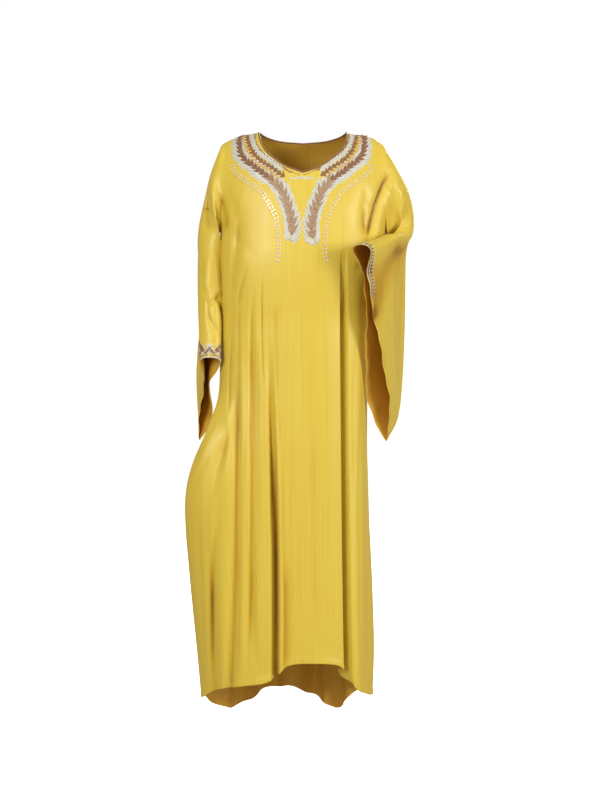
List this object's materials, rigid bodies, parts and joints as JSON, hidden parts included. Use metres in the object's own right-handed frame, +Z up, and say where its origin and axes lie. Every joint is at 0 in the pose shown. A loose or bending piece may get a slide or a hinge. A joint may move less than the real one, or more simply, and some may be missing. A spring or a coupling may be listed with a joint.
{
  "type": "boubou",
  "caption": "Ankle-length boubou of mustard satin in a worn pose: hollow hanging body, dropped shoulders, open bell sleeves, scooped neckline with raised leaf embroidery.",
  "frame": {"origin": "between the shoulders at the ends of the neckline, where the garment is held", "axes": "+Z up, -Y towards the front of the garment, +X towards the wearer's left"},
  "size_m": [0.5793, 0.4218, 1.5154],
  "materials": {
    "satin": "mustard-gold satin with a fine vertical slub",
    "brown_thread": "dense brown embroidery thread",
    "taupe_thread": "taupe embroidery thread with a slight sparkle"
  },
  "bodies": {
    "root": {"front_panel": "satin", "back_panel": "satin", "sleeve_right": "satin", "sleeve_left": "satin", "neck_piping": "brown_thread", "cuff_trim_right": "brown_thread", "cuff_trim_left": "brown_thread", "vine_right": "taupe_thread", "vine_left": "taupe_thread"}
  },
  "joints": []
}
